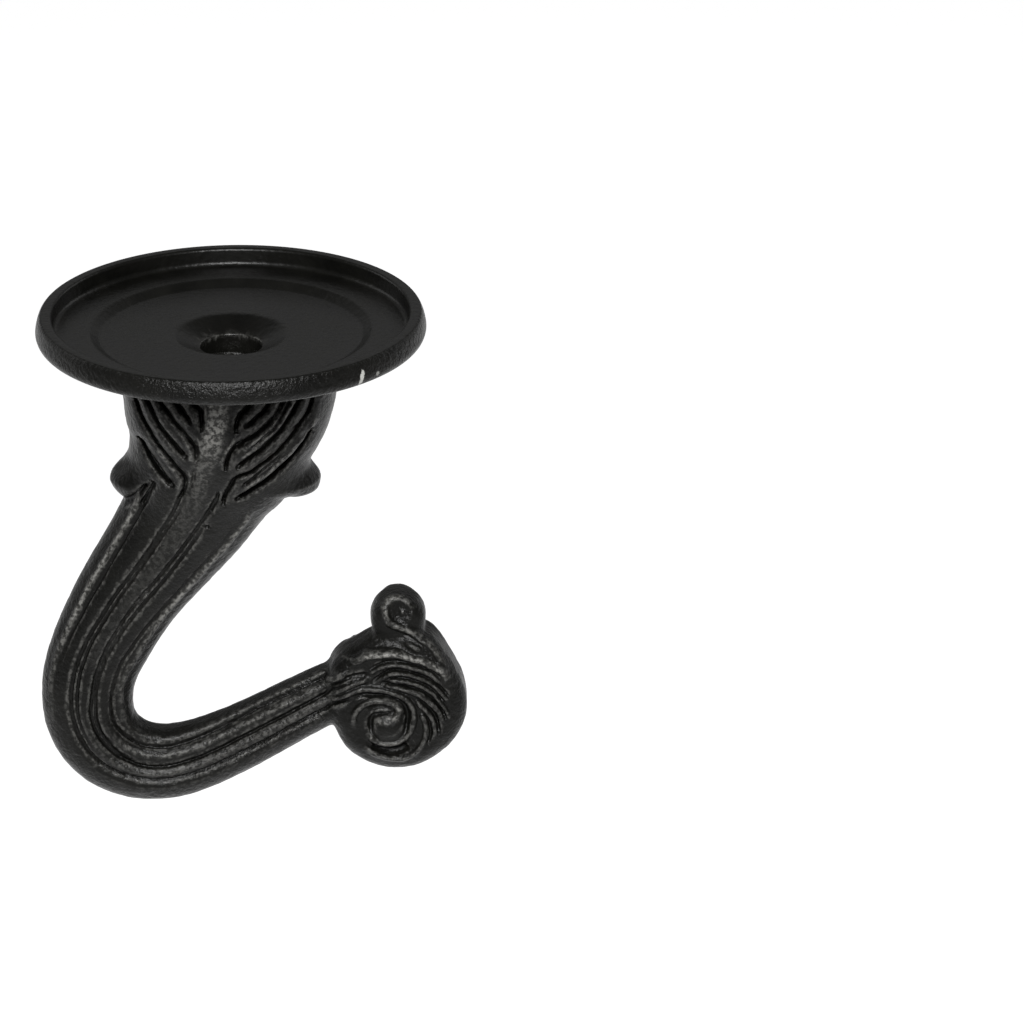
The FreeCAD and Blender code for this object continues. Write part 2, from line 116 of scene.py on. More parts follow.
# Leaf on both faces of the neck: lines in X, Z, slot depth, and slot half
# width at the start, middle and end.
LEAF = [
    ([(-3.88, -6.07), (-3.49, -6.58), (-3.09, -6.83), (-2.95, -7.33), (-2.91, -8.06),
      (-2.91, -8.95)], .62, (.22, .27, .2)),
    ([(-5.67, -6.09), (-5.22, -6.62), (-4.74, -7.17), (-4.39, -7.68), (-4.05, -8.17)], .62, (.26, .3, .22)),
    ([(-7.26, -6.06), (-6.77, -6.73), (-6.25, -7.36), (-5.73, -8.09), (-5.38, -8.56),
      (-4.95, -9.04), (-4.47, -9.71), (-4.08, -10.21), (-3.73, -10.70), (-3.52, -11.21),
      (-3.46, -11.73), (-3.56, -12.50)], .58, (.22, .23, .2)),
    ([(-8.40, -6.17), (-8.01, -6.98), (-7.75, -7.52), (-7.46, -8.14), (-7.11, -8.87),
      (-6.72, -9.48), (-6.24, -10.02), (-5.73, -10.66), (-5.25, -11.34), (-4.85, -11.75),
      (-4.61, -12.04)], .62, (.2, .24, .34)),
    ([(-9.34, -6.85), (-9.13, -7.54), (-8.91, -8.18), (-8.57, -8.97), (-8.14, -9.60),
      (-7.79, -10.28), (-7.37, -10.96), (-6.93, -11.56), (-6.49, -12.16), (-6.03, -12.69),
      (-5.54, -13.45), (-5.02, -13.99), (-4.67, -14.57), (-4.56, -15.08), (-4.64, -15.71),
      (-4.89, -16.37), (-5.22, -16.88)], .56, (.18, .23, .22)),
    ([(-3.82, -13.63), (-3.80, -14.37), (-4.06, -15.24), (-4.33, -15.90), (-4.74, -16.58)], .26, (.14, .18, .16)),
    ([(-9.10, -11.19), (-8.80, -11.40), (-8.51, -12.11), (-8.09, -12.80), (-7.66, -13.44),
      (-7.15, -14.19), (-6.62, -14.87), (-6.18, -15.34), (-5.94, -15.58)], .78, (.16, .44, .32)),
    ([(1.94, -6.37), (1.43, -6.87), (0.98, -7.31), (0.64, -7.89), (0.46, -8.43),
      (0.39, -9.10)], .64, (.34, .29, .2)),
    ([(4.03, -5.96), (3.63, -6.55), (3.25, -7.10), (2.70, -7.62), (2.21, -8.04),
      (1.76, -8.43), (1.38, -8.52)], .62, (.22, .28, .28)),
    ([(5.17, -6.14), (4.85, -6.83), (4.53, -7.48), (4.13, -7.99), (3.63, -8.47),
      (3.08, -8.97), (2.58, -9.40), (2.05, -9.75), (1.42, -10.10), (0.80, -10.35),
      (0.21, -10.89), (-0.20, -11.45), (-0.45, -12.03), (-0.61, -12.68), (-0.69, -13.34)], .64, (.24, .28, .2)),
    ([(1.34, -10.22), (0.75, -10.53), (0.30, -11.06)], .6, (.26, .36, .26)),
    ([(5.82, -6.09), (5.57, -6.57), (5.34, -7.04), (5.02, -7.56), (4.74, -8.16),
      (4.28, -8.85), (3.66, -9.35), (2.93, -10.04), (2.22, -10.69)], .24, (.17, .17, .15)),
    ([(6.81, -6.13), (6.55, -6.69), (6.18, -7.30), (5.73, -8.05), (5.18, -8.82),
      (4.63, -9.58), (4.00, -10.18), (3.37, -10.81), (2.64, -11.44), (1.93, -11.96),
      (1.21, -12.55), (0.54, -13.07)], .64, (.22, .27, .32)),
    ([(7.95, -6.35), (7.79, -6.99), (7.50, -7.95), (7.05, -8.59), (6.50, -9.26),
      (5.78, -10.23), (5.24, -10.84), (4.78, -11.36), (4.33, -11.88), (3.79, -12.29),
      (3.25, -12.80), (2.53, -13.27), (1.82, -13.81), (1.01, -14.13), (0.48, -14.34),
      (0.07, -14.77), (-0.25, -15.44), (-0.62, -16.13), (-0.90, -16.86), (-1.03, -17.54)], .56, (.17, .23, .26)),
    ([(4.77, -12.11), (3.88, -12.87), (3.06, -13.51), (2.35, -14.14), (1.62, -14.80),
      (0.90, -15.41)], .22, (.15, .16, .15)),
    ([(7.70, -10.02), (7.47, -10.43), (7.01, -11.28), (6.51, -11.97), (5.92, -12.67),
      (5.25, -13.32), (4.66, -13.96), (3.94, -14.59), (3.22, -15.14), (2.42, -15.71),
      (1.61, -16.18), (0.88, -16.67), (0.40, -16.97)], .78, (.15, .38, .33)),
    ([(6.69, -9.07), (6.23, -9.34), (5.75, -9.62)], .28, (.2, .26, .18)),
    ([(-1.50, -15.97), (-1.50, -16.54), (-1.69, -17.26), (-2.06, -17.98), (-2.34, -18.62)], .24, (.12, .2, .22)),
    ([(-11.13, -19.31), (-10.69, -18.96), (-9.66, -17.89), (-9.00, -17.18),
      (-8.64, -16.50), (-8.23, -16.08)], .55, (.45, .42, .2)),
    ([(-8.00, -15.61), (-7.69, -15.62), (-7.92, -16.33), (-8.32, -17.11), (-8.70, -17.99),
      (-9.07, -18.79)], .34, (.16, .24, .24)),
    ([(-3.03, -20.07), (-2.73, -20.23), (-2.24, -20.30)], .24, (.1, .14, .08)),
]
LEAF_RIDGES = [
    ([(-2.45, -6.26), (-2.48, -6.67), (-2.46, -7.58), (-2.50, -8.60)], .14, .26),
    ([(-3.28, -9.93), (-3.11, -10.65), (-3.07, -11.38)], .14, .22),
    ([(-4.17, -13.88), (-4.21, -14.84), (-4.42, -15.59)], .12, .2),
    ([(-7.37, -7.97), (-6.63, -8.87), (-6.10, -9.47), (-5.50, -10.13)], .1, .24),
    ([(-4.87, -9.65), (-4.48, -10.37), (-4.17, -11.08), (-4.00, -11.74), (-4.16, -12.24)], .14, .28),
    ([(-7.20, -11.96), (-6.41, -12.85), (-5.98, -13.52), (-5.55, -14.11), (-5.21, -14.74),
      (-5.20, -15.35), (-5.38, -15.74)], .15, .28),
    ([(0.32, -9.88), (-0.23, -10.67), (-0.62, -11.40), (-0.86, -12.04), (-1.05, -12.74)], .16, .24),
    ([(1.14, -11.02), (1.86, -10.41), (2.58, -10.02), (3.07, -9.57), (3.66, -9.16),
      (4.12, -8.54), (4.84, -7.34)], .12, .26),
    ([(1.13, -11.96), (2.21, -11.05), (3.02, -10.25), (3.92, -9.67), (4.55, -8.99),
      (5.10, -8.23), (5.56, -7.46), (6.10, -6.73)], .14, .26),
    ([(1.07, -15.96), (2.16, -15.01), (3.05, -14.48), (3.95, -13.67), (4.85, -12.85),
      (5.67, -12.25), (6.11, -11.61), (6.84, -10.98), (7.39, -10.38), (7.93, -9.51),
      (8.20, -9.18)], .15, .28),
]
LEAF_FALL = (.46, .92)          # rounding of the fingers towards their borders
STEM = [(-1.15, -5.5), (-1.28, -6.54), (-1.48, -8.10), (-1.86, -9.66), (-2.24, -11.23),
        (-2.80, -12.84), (-3.18, -14.52), (-3.56, -16.10), (-4.12, -17.70), (-5.2, -20.4),
        (-7.6, -24.4), (-10.9, -29.6), (-13.6, -35.0)]

# scrolled tip
TIP_OUTLINE = [
    (8.95, -37.00), (9.46, -36.02), (10.40, -35.12), (11.55, -34.38),
    (12.80, -33.60), (14.30, -33.10), (16.00, -32.90), (17.60, -33.00),
    (18.85, -33.50), (19.85, -34.55), (20.70, -35.90), (21.38, -37.18),
    (21.95, -38.60), (22.32, -40.20), (22.20, -42.00), (21.55, -43.65),
    (20.55, -45.00), (19.30, -46.08), (17.65, -46.95), (15.60, -47.35),
    (13.40, -47.00), (11.60, -46.10), (10.30, -44.90), (9.50, -43.30),
    (9.00, -41.50), (9.00, -39.20),
]
TIP_HALF = 3.22
TIP_ROUND = 1.85
# raised lines on both faces of the tip: points, height, half width, and over
# which length the two ends fade where it isn't 0.5
TIP_RIDGES = [
    ([(16.47, -33.80), (17.22, -34.16), (17.98, -34.47)], .26, .30),
    ([(10.98, -35.57), (11.97, -35.36), (12.63, -34.96), (13.28, -34.85), (14.05, -34.81),
      (15.25, -34.71), (16.23, -34.97), (17.21, -35.33), (18.18, -35.59), (18.94, -36.07),
      (19.70, -36.49), (20.20, -36.90)], .52, .44),
    ([(12.93, -36.78), (13.81, -36.21), (14.69, -35.97), (15.56, -35.91), (16.65, -36.14),
      (17.62, -36.45), (18.60, -36.88), (19.25, -37.36), (19.78, -37.95)], .30, .27),
    ([(14.01, -37.50), (14.50, -37.06), (15.11, -36.84), (15.98, -36.86), (16.85, -37.04),
      (17.72, -37.36), (18.69, -37.82), (19.23, -38.30), (19.88, -39.01), (20.41, -39.72)],
     .30, .25),
    ([(14.88, -37.62), (15.97, -37.62), (17.06, -37.90), (18.14, -38.36), (18.79, -38.87),
      (19.43, -39.56), (19.97, -40.27), (20.39, -41.01), (20.60, -41.71)], .30, .25),
    ([(14.22, -38.02), (15.09, -38.20), (15.96, -38.45), (17.04, -38.82), (17.91, -39.27),
      (18.66, -39.95), (19.31, -40.60), (19.68, -41.17), (19.85, -42.0)], .32, .29),
    ([(17.41, -39.84), (18.00, -40.50), (18.53, -41.03), (18.87, -41.68), (19.16, -42.62),
      (19.15, -43.50)], .32, .28),
    ([(17.88, -41.08), (18.19, -41.90), (18.29, -42.72), (18.22, -43.54), (17.94, -44.24),
      (17.49, -44.93), (16.94, -45.39), (16.06, -45.84), (14.97, -45.85), (13.88, -45.59),
      (13.01, -45.20), (12.26, -44.60)], .34, .32, .5, 2.4),
    ([(13.61, -41.76), (14.38, -41.74), (15.14, -41.50), (15.64, -41.13), (15.81, -40.75),
      (15.60, -40.34), (15.06, -39.97), (14.41, -39.73), (13.65, -39.62), (12.77, -39.78),
      (12.00, -40.21), (11.44, -40.79), (11.21, -41.54), (11.32, -42.50)],
     .46, .40, .5, 2.6),
    ([(12.71, -43.33), (13.14, -43.80), (13.90, -44.17), (14.77, -44.25), (15.65, -43.99),
      (16.26, -43.60), (16.76, -43.05), (17.08, -42.12), (17.17, -41.30), (17.02, -40.48),
      (16.70, -39.89), (15.94, -39.23), (15.08, -38.83), (14.21, -38.56), (13.12, -38.42),
      (12.03, -38.42), (11.15, -38.74), (9.94, -39.30), (8.95, -39.75)], .38, .34),
    ([(8.32, -37.98), (9.42, -37.42), (10.42, -36.85)], .40, .42),
    ([(8.30, -39.50), (9.40, -38.94), (10.17, -38.48), (11.27, -37.92), (12.15, -37.58),
      (12.70, -37.36)], .34, .32),
    ([(8.28, -41.08), (8.94, -40.63), (9.82, -40.29), (10.64, -39.99)], .24, .30),
]
TIP_CUTS = [
    ([(13.13, -37.60), (13.79, -37.14), (14.46, -36.71), (15.11, -36.54), (15.99, -36.55),
      (16.96, -36.76), (17.83, -37.12), (18.70, -37.58), (19.35, -38.00), (19.88, -38.54),
      (20.42, -39.25)], .36, .22),
    ([(14.11, -37.78), (14.87, -37.90), (15.75, -38.02), (16.61, -38.24), (17.59, -38.56),
      (18.35, -38.95), (19.00, -39.50), (19.53, -40.21), (19.96, -40.92), (20.27, -41.63)],
     .36, .21),
    ([(13.15, -36.30), (14.03, -35.75), (15.13, -35.55), (16.43, -35.69), (17.63, -36.06),
      (18.71, -36.43), (19.58, -37.03)], .22, .20),
    ([(14.44, -37.33), (15.32, -37.24), (16.41, -37.35), (17.39, -37.70), (18.36, -38.10),
      (19.12, -38.68), (19.76, -39.43), (20.19, -40.10)], .20, .15),
    ([(17.47, -39.49), (18.33, -40.09), (18.97, -40.98), (19.45, -42.04), (19.48, -43.33)],
     .28, .20),
    ([(17.89, -40.61), (18.50, -41.60), (18.72, -42.62), (18.70, -43.55), (18.37, -44.36)],
     .26, .20),
    ([(11.58, -39.21), (12.46, -39.00), (13.32, -39.14), (14.41, -39.26), (15.39, -39.55),
      (16.15, -40.13), (16.50, -40.94), (16.52, -41.76), (16.23, -42.57), (15.78, -43.20),
      (15.00, -43.60), (14.13, -43.58)], .38, .30),
    ([(15.20, -41.05), (14.60, -41.15), (13.95, -41.20), (13.35, -41.10), (12.96, -41.50),
      (12.84, -42.04), (13.16, -42.98)], .42, .34),
    ([(14.73, -40.38), (13.96, -40.25), (13.31, -40.40), (12.70, -40.90)], .34, .34),
    ([(12.92, -44.15), (13.68, -44.68), (14.76, -44.98), (15.86, -44.83), (16.63, -44.33)],
     .72, .58),
    ([(8.32, -38.51), (9.64, -37.83), (10.74, -37.25), (12.05, -36.92), (12.93, -36.98)],
     .32, .30),
    ([(8.28, -40.67), (9.16, -40.10), (10.26, -39.71), (11.03, -39.49)], .28, .28),
]
TIP_EYE = (14.68, -42.60, .66, 1.70)          # swelling inside the scroll
TIP_HOLLOW = .42                              # dip above the highest ridge

NUB = (15.76, -31.95, 2.72, 2.40, 2.76)
NUB_RIDGE = ([(17.18, -30.30), (16.53, -29.65), (15.99, -29.35), (15.22, -29.39),
              (14.67, -29.79), (14.44, -30.49), (14.54, -31.19), (14.86, -31.78),
              (15.62, -32.21), (16.38, -32.51), (17.03, -32.76), (17.78, -33.24),
              (18.65, -33.72), (19.29, -34.44), (19.82, -35.38), (20.14, -36.32),
              (20.45, -37.38), (20.71, -37.97)], (.16, .22, .40, .40, .22), (.36, .40, .42, .44, .60))
NUB_DOT = (16.19, -30.85, .24, .27)
NUB_DIMPLE = (15.90, -30.85, .34, 1.25)

# where the paint is lightened, partly paint wear and partly painted highlight along crests that catch the light:
# rib line with station and amount, tip line with width and amount
RIBS_RUBBED_AND_HIGHLIT = [
    (RIB_A1, [(0, 0), (5.6, 0), (6.2, .55), (9.8, .55), (10.6, .30), (12, .10), (13, 0), (21, 0)]),
    (RIB_D, [(0, 0), (4.8, 0), (5.4, .55), (8.6, .55), (9.6, .28), (12, .15), (14, .08), (21, .08)]),
    ([(0, .71), (13, .70), (15.4, .715), (17.5, .74), (19, .79), (21, .80)],
     [(0, 0), (13.0, 0), (14.4, .22), (19.5, .26), (20.6, .14), (21, 0)]),
    ([(0, .46), (13, .455), (15.4, .468), (17.5, .49), (19, .515), (21, .54)],
     [(0, 0), (13.0, 0), (14.4, .12), (19.5, .20), (20.6, .12), (21, 0)]),
]
TIP_RUBBED_AND_HIGHLIT = [(TIP_RIDGES[1][0][2:], .36, .60), (TIP_RIDGES[8][0][:8], .34, .45),
              (NUB_RIDGE[0][2:11], .30, .40), (TIP_RIDGES[9][0][:6], .26, .30)]

# canopy plate
PLATE_R = 19.05
HOLE_R = 2.50
THREAD_R = 3.00
THREAD_PITCH = 1.00
HOLE_END_Z = -13.00


# ------------------------------------------------------------------ curves
def cubic(t, y, ts):
    """Natural cubic spline through y at t, read at ts."""
    y = np.asarray(y, float)
    n = len(t)
    h = np.diff(t)
    a = np.zeros((n, n))
    r = np.zeros(y.shape)
    a[0, 0] = a[-1, -1] = 1
    for i in range(1, n - 1):
        a[i, i - 1], a[i, i], a[i, i + 1] = h[i - 1], 2 * (h[i - 1] + h[i]), h[i]
        r[i] = 6 * ((y[i + 1] - y[i]) / h[i] - (y[i] - y[i - 1]) / h[i - 1])
    m = np.linalg.solve(a, r)
    k = np.clip(np.searchsorted(t, ts) - 1, 0, n - 2)
    d, hk = (ts - t[k])[:, None], h[k][:, None]
    return (y[k] + d * ((y[k + 1] - y[k]) / hk - hk * (2 * m[k] + m[k + 1]) / 6)
            + d ** 2 * m[k] / 2 + d ** 3 * (m[k + 1] - m[k]) / (6 * hk))


def line_through(points, step=0.08):
    p = np.array(points, float)
    t = np.r_[0, np.cumsum(np.hypot(*np.diff(p, axis=0).T))]
    return cubic(t, p, np.linspace(0, t[-1], max(8, int(t[-1] / step))))


def soft_line(points, sigma=0.26, step=0.08):
    """The line with its small kinks evened out."""
    p = line_through(points, step)
    n = int(round(3 * sigma / step))
    if len(p) < n + 3:
        return p
    w = np.exp(-0.5 * (np.arange(-n, n + 1) * step / sigma) ** 2)
    w /= w.sum()
    ext = np.r_[2 * p[0] - p[n:0:-1], p, 2 * p[-1] - p[-2:-n - 2:-1]]
    return np.stack([np.convolve(ext[:, c], w, "valid") for c in (0, 1)], 1)


def step_up(x):
    x = np.clip(x, 0, 1)
    return x * x * (3 - 2 * x)


def loop_through(points, step=0.12):
    p = np.array(points, float)
    p = np.r_[p[-4:], p, p[:5]]
    t = np.r_[0, np.cumsum(np.hypot(*np.diff(p, axis=0).T))]
    ts = np.arange(t[4], t[len(points) + 4], step)
    return cubic(t, p, ts)


def near_line(grid_x, grid_z, line, reach):
    """Distance in X-Z from the line, and how far along it, within reach."""
    d = np.full((len(grid_x), len(grid_z)), 1e3, np.float32)
    s = np.zeros_like(d)
    share = np.zeros_like(d)
    lo, hi = line.min(0) - reach, line.max(0) + reach
    i = np.nonzero((grid_x >= lo[0]) & (grid_x <= hi[0]))[0]
    j = np.nonzero((grid_z >= lo[1]) & (grid_z <= hi[1]))[0]
    if not len(i) or not len(j):
        return d, s, share
    gx = grid_x[i][:, None, None]
    gz = grid_z[j][None, :, None]
    q = (gx - line[:, 0]) ** 2 + (gz - line[:, 1]) ** 2
    k = q.argmin(2)
    length = np.r_[0, np.cumsum(np.hypot(*np.diff(line, axis=0).T))]
    sub = np.ix_(i, j)
    d[sub] = np.sqrt(np.take_along_axis(q, k[:, :, None], 2)[:, :, 0])
    s[sub] = np.minimum(length[k], length[-1] - length[k])
    share[sub] = length[k] / length[-1]
    return d, s, share


def smin(a, b, k):
    h = np.maximum(k - np.abs(a - b), 0) / k
    return np.minimum(a, b) - h * h * k * 0.25


def polygon_distance(px, pz, loop):
    """Signed distance to a closed polygon, negative inside."""
    shape = px.shape
    x, z = px.ravel(), pz.ravel()
    best = np.full(x.shape, 1e9)
    inside = np.zeros(x.shape, bool)
    for (x0, z0), (x1, z1) in zip(loop, np.roll(loop, -1, axis=0)):
        ex, ez = x1 - x0, z1 - z0
        ll = ex * ex + ez * ez
        if ll < 1e-12:
            continue
        t = np.clip(((x - x0) * ex + (z - z0) * ez) / ll, 0, 1)
        best = np.minimum(best, (x - x0 - t * ex) ** 2 + (z - z0 - t * ez) ** 2)
        cross = (z0 > z) != (z1 > z)
        if cross.any():
            at = x0 + (z - z0) / (z1 - z0 if z1 != z0 else 1e-12) * ex
            inside ^= cross & (x < at)
    return (np.sqrt(best) * np.where(inside, -1, 1)).reshape(shape)


# ------------------------------------------------------------------- grid
grid_x = np.arange(-20.1, 23.6, STEP)
grid_z = np.arange(-51.7, 1.0, STEP)
half_y = (np.arange(int(20.2 / STEP)) + 0.5) * STEP
nx, nz, ny = len(grid_x), len(grid_z), len(half_y)
near_y = int(np.searchsorted(half_y, 10.9))
y1 = half_y[:near_y].astype(np.float32)
gx2, gz2 = np.meshgrid(grid_x, grid_z, indexing="ij")

# ------------------------------------------------------------ neck and arm
t_st = np.r_[0, np.cumsum(np.hypot(np.diff(STATIONS[:, 0]), np.diff(STATIONS[:, 1])))]
t_s = np.linspace(0, t_st[-1], 1400)
spine = cubic(t_st, STATIONS, t_s)
tangent = np.gradient(spine[:, :2], t_s, axis=0)
tangent[0] = (0, -1)
tangent /= np.linalg.norm(tangent, axis=1)[:, None]
normal = np.c_[-tangent[:, 1], tangent[:, 0]]
station_s = np.interp(t_s, t_st, np.arange(len(t_st)))


def along_arm(table):
    t = np.array(table, float)
    return np.interp(station_s, t[:, 0], t[:, 1])


rib_lines = [(along_arm(l), w, along_arm(d)) for l, w, d in RIB_LINES]
rib_crests = [(along_arm(l), w, along_arm(d)) for l, w, d in RIB_CRESTS]
low = np.clip((station_s - 13.0) / 1.0, 0, 1)
ab = along_arm(RIB_AB_OUT) * (0.5 + 0.5 * low) + along_arm(RIB_AB_IN) * (0.5 - 0.5 * low)
low = np.clip((station_s - 14.0) / 1.2, 0, 1)
bc = along_arm(RIB_BC_OUT) * (0.5 + 0.5 * low) + along_arm(RIB_BC_IN) * (0.5 - 0.5 * low)
rib_s = np.stack([along_arm(RIB_A1A2), ab, bc, along_arm(RIB_CD)]
                 + [np.interp(station_s, RIB_ROUND[:, 0], RIB_ROUND[:, c]) for c in range(1, 5)], 1)

nearest = np.zeros((nx, nz), np.int32)
for i in range(0, nx, 8):
    q = ((grid_x[i:i + 8, None, None] - spine[:, 0]) ** 2
         + (grid_z[None, :, None] - spine[:, 1]) ** 2)
    nearest[i:i + 8] = q.argmin(2)
u2 = ((gx2 - spine[nearest, 0]) * normal[nearest, 0]
      + (gz2 - spine[nearest, 1]) * normal[nearest, 1])
along = ((gx2 - spine[nearest, 0]) * tangent[nearest, 0]
         + (gz2 - spine[nearest, 1]) * tangent[nearest, 1])
hw2, hd2 = spine[nearest, 2], spine[nearest, 3]

un = (np.abs(u2) / hw2) ** POWER
gu = (np.abs(u2) ** (POWER - 1) / hw2 ** POWER).astype(np.float32)
ypow = (y1 ** POWER)[None, :, None]
ygrad = (y1 ** (POWER - 1))[None, :, None]
ihd = (hd2 ** -POWER).astype(np.float32)[:, None, :]
big = un.astype(np.float32)[:, None, :] + ypow * ihd
q3 = big ** (1 / POWER)
slope = np.sqrt(gu[:, None, :] ** 2 + (ygrad * ihd) ** 2) + 1e-6
limb = (q3 - 1) * q3 ** (POWER - 1) / slope
limb = np.maximum(limb, -8.0)

# ribs: rounded between grooves
ii, jj, kk = np.nonzero(np.abs(limb) < 1.6)
st = rib_s[nearest[ii, kk]]
frac = (u2[ii, kk] / hw2[ii, kk]) / q3[ii, jj, kk]
a = np.clip((frac + 1) / 2, 0, 1)
depth = np.zeros_like(a)
edge_lo = np.zeros_like(a)
sharp = np.interp(station_s[nearest[ii, kk]], (12.0, 14.5), (1.8, 1.25))
for k in range(5):
    lo = st[:, k - 1] if k else edge_lo
    hi = st[:, k] if k < 4 else edge_lo + 1
    dl = st[:, 3 + k] if k else edge_lo
    dr = st[:, 4 + k] if k < 4 else edge_lo
    m = (a >= lo) & (a <= hi)
    s = np.where(m, (a - lo) / np.maximum(hi - lo, 1e-6), 0)
    if k == 0:
        d = dr * s ** 2
    elif k == 4:
        d = dl * (1 - s) ** 2
    else:
        d = dl * np.maximum(0, 1 - 2 * s) ** sharp + dr * np.maximum(0, 2 * s - 1) ** sharp
    depth = np.where(m, d, depth)
kn = nearest[ii, kk]
hw_k, hd_k = spine[kn, 2], spine[kn, 3]


def across(place):
    """Distance over the section from the line at this place."""
    v = np.clip(2 * place - 1, -.985, .985)
    av = np.abs(v)
    dy = hd_k * av ** (POWER - 1) * (1 - av ** POWER) ** (1 / POWER - 1)
    return np.abs(a - place) * 2 * np.sqrt(hw_k ** 2 + dy ** 2)


for line, width, deep in rib_lines:
    d = across(line[kn])
    depth = depth + deep[kn] * np.maximum(0, 1 - (d / width) ** 2)
for line, width, high in rib_crests:
    d = across(line[kn])
    depth = depth - high[kn] * np.maximum(0, 1 - (d / width) ** 2)
limb[ii, jj, kk] += depth.astype(np.float32)
del big, slope, ii, jj, kk, st, frac, a, depth, kn, hw_k, hd_k

# the arm stops inside the tip, the neck inside the plate
end_cap = np.where(nearest >= len(t_s) - 2, along, -1e3)
limb = np.maximum(limb, end_cap[:, None, :].astype(np.float32))


def cushion(x, z, rx, ry, rz, power=3.2):
    """Round seen from the front, with flattened faces."""
    px = ((grid_x - x) / rx)[:, None, None]
    py = (y1 / ry)[None, :, None]
    pz = ((grid_z - z) / rz)[None, None, :]
    flat = np.sqrt(px ** 2 + pz ** 2)
    q = (flat ** power + py ** power) ** (1 / power) + 1e-6
    gf = (flat / q) ** (power - 1)
    gy = (py / q) ** (power - 1) / ry
    g = np.sqrt((gf * 2 / (rx + rz)) ** 2 + gy ** 2) + 1e-6
    return ((q - 1) / g).astype(np.float32)


for x, z, rx, ry, rz, power, above, below in LOBES:
    px = (np.abs(grid_x - x) / rx)[:, None, None]
    py = (y1 / ry)[None, :, None]
    pz = (np.abs(grid_z - z) / rz)[None, None, :]
    flat = (px ** power + pz ** power) ** (2 / power)
    q = np.sqrt(flat + py ** 2)
    lobe = ((q - 1) * 2.6).astype(np.float32)
    soft = np.interp(grid_z, (z - 1.0, z + 0.4), (below, above)).astype(np.float32)
    limb = smin(limb, lobe, soft[None, None, :])

# leaf lines: a slot in the middle of a wider fall, so the fingers are rounded
slot = np.zeros((nx, nz), np.float32)
fall = np.zeros((nx, nz), np.float32)
for pts, dep, wid in LEAF:
    d, s, share = near_line(grid_x, grid_z, soft_line(pts, 0.18), 1.3)
    w = np.interp(share, (0, .5, 1), wid)
    fade = np.clip(s / .35, .45, 1)
    slot = np.maximum(slot, dep * fade * np.maximum(0, 1 - (d / w) ** 2))
    fall = np.maximum(fall, min(1, dep / .6) * fade * np.maximum(0, 1 - d / LEAF_FALL[1]) ** 2)
swell = np.zeros((nx, nz), np.float32)
for pts, hgt, wid in LEAF_RIDGES:
    d, s, share = near_line(grid_x, grid_z, soft_line(pts), 1.0)
    swell = np.maximum(swell, 1.5 * hgt * np.clip(s / .5, .2, 1) * np.maximum(0, 1 - (d / wid) ** 2))
cut = slot + LEAF_FALL[0] * fall - swell
faces = np.clip((y1 - 1.3) / 1.6, 0, 1)          # the sides stay plain
limb += cut[:, None, :].astype(np.float32) * faces[None, :, None]

# --------------------------------------------------------------------- tip
loop = loop_through(TIP_OUTLINE)
d2 = np.full((nx, nz), 5.0)
i0, i1 = np.searchsorted(grid_x, (4.0, 23.6))
k0, k1 = np.searchsorted(grid_z, (-51.7, -26.0))
d2[i0:i1, k0:k1] = polygon_distance(gx2[i0:i1, k0:k1], gz2[i0:i1, k0:k1], loop)
rise = np.zeros((nx, nz), np.float32)
for pts, hgt, wid, *ends in TIP_RIDGES:
    line = soft_line(pts)
    d, s, share = near_line(grid_x, grid_z, line, 1.0)
    length = np.hypot(*np.diff(line, axis=0).T).sum()
    start, stop = ends or (.5, .5)
    fade = step_up(.25 + share * length / start) * step_up(.25 + (1 - share) * length / stop)
    rise = np.maximum(rise, hgt * fade * np.maximum(0, 1 - (d / wid) ** 2))
d = np.hypot(gx2 - TIP_EYE[0], gz2 - TIP_EYE[1])
rise = np.maximum(rise, TIP_EYE[2] * np.maximum(0, 1 - (d / TIP_EYE[3]) ** 2.0))
sunk = np.zeros((nx, nz), np.float32)
for pts, dep, wid in TIP_CUTS:
    d, s, share = near_line(grid_x, grid_z, soft_line(pts), 1.2)
    sunk = np.maximum(sunk, dep * np.clip(s / .5, .3, 1) * np.maximum(0, 1 - (d / wid) ** 2))
rise = rise - sunk * (1 - 0.85 * np.clip(rise / .22, 0, 1))
crest = soft_line(TIP_RIDGES[1][0])
above = gz2 - np.interp(gx2, crest[:, 0], crest[:, 1])
dip = TIP_HOLLOW * step_up((above - .20) / .30) * (1 - step_up((above - .55) / 2.3))
dip *= step_up((gx2 - 9.6) / 2.6) * (1 - step_up((gx2 - 15.4) / 2.4))
rise = rise - dip.astype(np.float32)
sub = np.s_[i0:i1, k0:k1]
inner = (d2[sub] + TIP_ROUND)[:, None, :]
face = (y1 - (TIP_HALF - TIP_ROUND))[None, :, None]
tip_part = (np.sqrt(np.maximum(inner, 0) ** 2 + np.maximum(face, 0) ** 2)
            + np.minimum(np.maximum(inner, face), 0) - TIP_ROUND)
tip_part = tip_part - rise[sub][:, None, :] * np.clip((y1 - 0.8) / 1.2, 0, 1)[None, :, None]
tip = np.full((nx, near_y, nz), 5.0, np.float32)
tip[i0:i1, :, k0:k1] = tip_part

